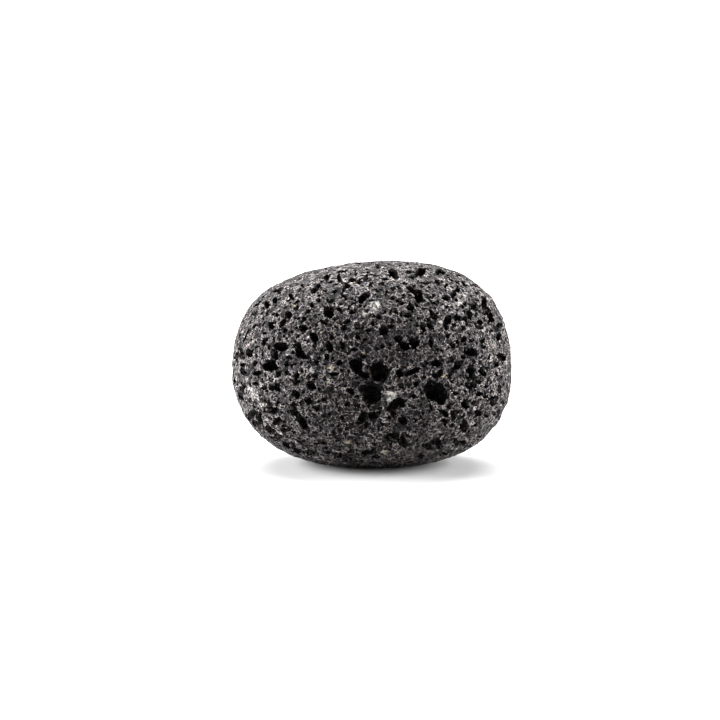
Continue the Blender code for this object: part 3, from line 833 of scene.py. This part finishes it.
def rock_colour(tree, place, pale, hollow):
    """Dark rock whose brightness is added up in stops from everything that lightens or darkens it."""
    depth = add_node(tree, "ShaderNodeAttribute", output="Fac", attribute_name="depth_mm")
    bulge = add_node(tree, "ShaderNodeAttribute", output="Fac", attribute_name="bulge_mm")
    stops = [
        add_node(tree, "ShaderNodeMath", {0: pale, 1: PALE_STOPS}, operation="MULTIPLY"),
        # painted shade: the open pores of the pattern are painted darker
        add_node(tree, "ShaderNodeMath", {0: hollow, 1: PORE_SHADE_STOPS}, operation="MULTIPLY"),
        # painted shade: bubbles are painted darker the deeper they reach, darkest at the bottom
        add_node(tree, "ShaderNodeMapRange", {
            "Value": depth, "From Min": SHADE_DEPTHS[0], "From Max": SHADE_DEPTHS[1],
            "To Max": DEEP_SHADE_STOPS}, interpolation_type="SMOOTHSTEP"),
        # rims are painted paler, partly as rubbed wear and partly as a painted highlight, and creases are
        # painted darker as painted shade
        add_node(tree, "ShaderNodeMapRange", {
            "Value": bulge, "From Min": BULGE_SPAN[0], "From Max": BULGE_SPAN[1],
            "To Min": CREASE_SHADE_STOPS, "To Max": RIM_WEAR_AND_HIGHLIGHT_STOPS}),
    ]
    for size, detail, roughness, low, high, darkest, lightest in ROCK_CLOUDS:
        cloud = add_node(tree, "ShaderNodeTexNoise", {
            "Vector": place, "Scale": 1 / (size * MM), "Detail": detail, "Roughness": roughness})
        stops.append(add_node(tree, "ShaderNodeMapRange", {
            "Value": cloud, "From Min": low, "From Max": high, "To Min": darkest, "To Max": lightest}))
    total = BASE_STOPS
    for stop in stops:
        total = add_node(tree, "ShaderNodeMath", {0: stop, 1: total}, operation="ADD")
    gain = add_node(tree, "ShaderNodeMath", {0: 2.0, 1: total}, operation="POWER")
    # rubbed walls are a little warm, some towards violet and some towards brown
    warm_patches = add_node(tree, "ShaderNodeTexNoise", {
        "Vector": place, "Scale": 1 / (TINT_PATCH_SIZE * MM), "Detail": 1.0})
    brownness = add_node(tree, "ShaderNodeMapRange", {
        "Value": warm_patches, "From Min": BROWN_SPAN[0], "From Max": BROWN_SPAN[1]})
    rubbed = add_node(tree, "ShaderNodeMix", {
        "Factor": brownness, 6: hex_colour(VIOLET_WALL), 7: hex_colour(BROWN_WALL)}, 2, data_type="RGBA")
    colour = add_node(tree, "ShaderNodeMix", {
        "Factor": pale, 6: hex_colour(PLAIN_ROCK), 7: rubbed}, 2, data_type="RGBA")
    lit = add_node(tree, "ShaderNodeVectorMath", {0: colour, "Scale": gain}, operation="SCALE")
    return add_node(tree, "ShaderNodeVectorMath", {
        0: lit, 1: hex_colour(PALEST_ROCK)[:3]}, operation="MINIMUM")


def crusted(tree, place, rock, hollow):
    """The rock with grainy crusts of tan and white mineral over it, thin where pores lie open."""
    grains = add_node(tree, "ShaderNodeTexNoise", {
        "Vector": place, "Scale": 1 / (CRUST_GRIT_SIZE * MM), "Detail": 3.0, "Roughness": 0.7})
    grit = add_node(tree, "ShaderNodeMapRange", {
        "Value": grains, "To Min": -GRIT_REACH, "To Max": GRIT_REACH}, clamp=False)
    depth = add_node(tree, "ShaderNodeAttribute", output="Fac", attribute_name="depth_mm")
    shallow = add_node(tree, "ShaderNodeMapRange", {
        "Value": depth, "From Min": CRUST_DEPTHS[0], "From Max": CRUST_DEPTHS[1],
        "To Min": 1.0, "To Max": HOLD_IN_BUBBLE}, interpolation_type="SMOOTHSTEP")
    closed = add_node(tree, "ShaderNodeMapRange", {
        "Value": hollow, "To Min": 1.0, "To Max": HOLD_OVER_PORE})
    hold = add_node(tree, "ShaderNodeMath", {0: shallow, 1: closed}, operation="MULTIPLY")
    for fact, colour in CRUST_COLOURS.items():
        amount = add_node(tree, "ShaderNodeAttribute", output="Fac", attribute_name=fact)
        grainy = add_node(tree, "ShaderNodeMath", {0: amount, 1: grit}, operation="ADD")
        covered = add_node(tree, "ShaderNodeMapRange", {
            "Value": grainy, "From Min": CRUST_SPAN[0], "From Max": CRUST_SPAN[1]},
            interpolation_type="SMOOTHSTEP")
        # thin crust lets the rock show through
        thickness = add_node(tree, "ShaderNodeMapRange", {
            "Value": amount, "From Max": THICK_CRUST}, interpolation_type="SMOOTHSTEP")
        cover = add_node(tree, "ShaderNodeMath", {0: covered, 1: thickness}, operation="MULTIPLY")
        held = add_node(tree, "ShaderNodeMath", {0: cover, 1: hold}, operation="MULTIPLY")
        rock = add_node(tree, "ShaderNodeMix", {
            "Factor": held, 6: rock, 7: hex_colour(colour)}, 2, data_type="RGBA")
    return rock


def tumbled_basalt():
    """Vesicular basalt, worn by tumbling: dark and matt, with hardly any sheen on its rubbed walls,
    a web of thin pale walls round its finest pores, and crusts of white and tan mineral."""
    material = bpy.data.materials.new("tumbled_vesicular_basalt")
    material.use_nodes = True
    tree = material.node_tree
    shader = tree.nodes["Principled BSDF"]
    shader.inputs["Roughness"].default_value = 0.75
    shader.inputs["Specular IOR Level"].default_value = 0.08
    shader.inputs["Sheen Weight"].default_value = 0.04
    shader.inputs["Sheen Roughness"].default_value = 0.4
    place = add_node(tree, "ShaderNodeTexCoord", output="Object")
    pale, hollow = fine_structure(tree, place)
    rock = rock_colour(tree, place, pale, hollow)
    tree.links.new(crusted(tree, place, rock, hollow), shader.inputs["Base Color"])

    # pores sink, rubbed walls stand up, and grains roughen both
    walls_up = add_node(tree, "ShaderNodeMath", {0: pale, 1: WALL_RELIEF}, operation="MULTIPLY")
    relief = add_node(tree, "ShaderNodeMath", {0: walls_up, 1: hollow}, operation="SUBTRACT")
    grains = add_node(tree, "ShaderNodeTexNoise", {
        "Vector": place, "Scale": 1 / (RELIEF_GRAIN_SIZE * MM), "Detail": 3.0, "Roughness": 0.6})
    height = add_node(tree, "ShaderNodeMath", {
        0: grains, 1: GRAIN_RELIEF, 2: relief}, operation="MULTIPLY_ADD")
    bump = add_node(tree, "ShaderNodeBump", {"Height": height, "Distance": RELIEF_HEIGHT * MM})
    tree.links.new(bump, shader.inputs["Normal"])
    return material


def add_floor():
    """A wide white floor under the stone."""
    bpy.ops.object.select_all(action="DESELECT")
    bpy.ops.mesh.primitive_circle_add(vertices=96, radius=FLOOR_RADIUS, fill_type="NGON")
    floor = bpy.context.object
    floor.name = "floor"
    # matt white card, brighter to the eye than in the light that it throws up under the stone
    card = bpy.data.materials.new("matt_white_card")
    card.use_nodes = True
    tree = card.node_tree
    shader = tree.nodes["Principled BSDF"]
    shader.inputs["Roughness"].default_value = 0.6
    shader.inputs["Specular IOR Level"].default_value = 0.2
    seen = add_node(tree, "ShaderNodeLightPath", output="Is Camera Ray")
    white = add_node(tree, "ShaderNodeMix", {
        "Factor": seen, 6: hex_colour(FLOOR_IN_LIGHT), 7: hex_colour(FLOOR_TO_EYE)}, 2, data_type="RGBA")
    tree.links.new(white, shader.inputs["Base Color"])
    floor.data.materials.append(card)


def add_world():
    """A white room, bright behind the stone and dim in the light that it gives."""
    world = bpy.data.worlds.new("white_room")
    bpy.context.scene.world = world
    world.use_nodes = True
    tree = world.node_tree
    room = tree.nodes["Background"]
    room.inputs["Color"].default_value = (1.0, 1.0, 1.0, 1.0)
    seen = add_node(tree, "ShaderNodeLightPath", output="Is Camera Ray")
    strength = add_node(tree, "ShaderNodeMapRange", {
        "Value": seen, "To Min": ROOM_IN_LIGHT, "To Max": ROOM_TO_EYE})
    tree.links.new(strength, room.inputs["Strength"])


def add_softbox(name, place, width, depth, power):
    """A soft rectangular light turned to the stone."""
    light = bpy.data.lights.new(name, "AREA")
    light.shape = "RECTANGLE"
    light.size = width
    light.size_y = depth
    light.energy = power
    softbox = bpy.data.objects.new(name, light)
    bpy.context.scene.collection.objects.link(softbox)
    softbox.location = place
    softbox.rotation_euler = (MIDDLE - Vector(place)).to_track_quat("-Z", "Y").to_euler()
    softbox.visible_camera = False


def add_camera():
    """The eye, looking down a little on the stone."""
    lens = bpy.data.cameras.new("camera")
    lens.lens = lens.sensor_width * EYE_DISTANCE / PICTURE_WIDTH
    lens.clip_start = 0.01
    lens.clip_end = 20.0
    camera = bpy.data.objects.new("camera", lens)
    bpy.context.scene.collection.objects.link(camera)
    camera.location = EYE + AIM_OFFSET
    camera.rotation_euler = (TILT @ Vector((0.0, 1.0, 0.0))).to_track_quat("-Z", "Y").to_euler()
    bpy.context.scene.camera = camera
    bpy.context.scene.view_settings.view_transform = "Standard"


stone = open_stone()
stone.data.materials.clear()
stone.data.materials.append(tumbled_basalt())
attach(stone, "root")
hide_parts(SOLID)

add_floor()
add_world()
for softbox in SOFTBOXES:
    add_softbox(*softbox)
add_camera()
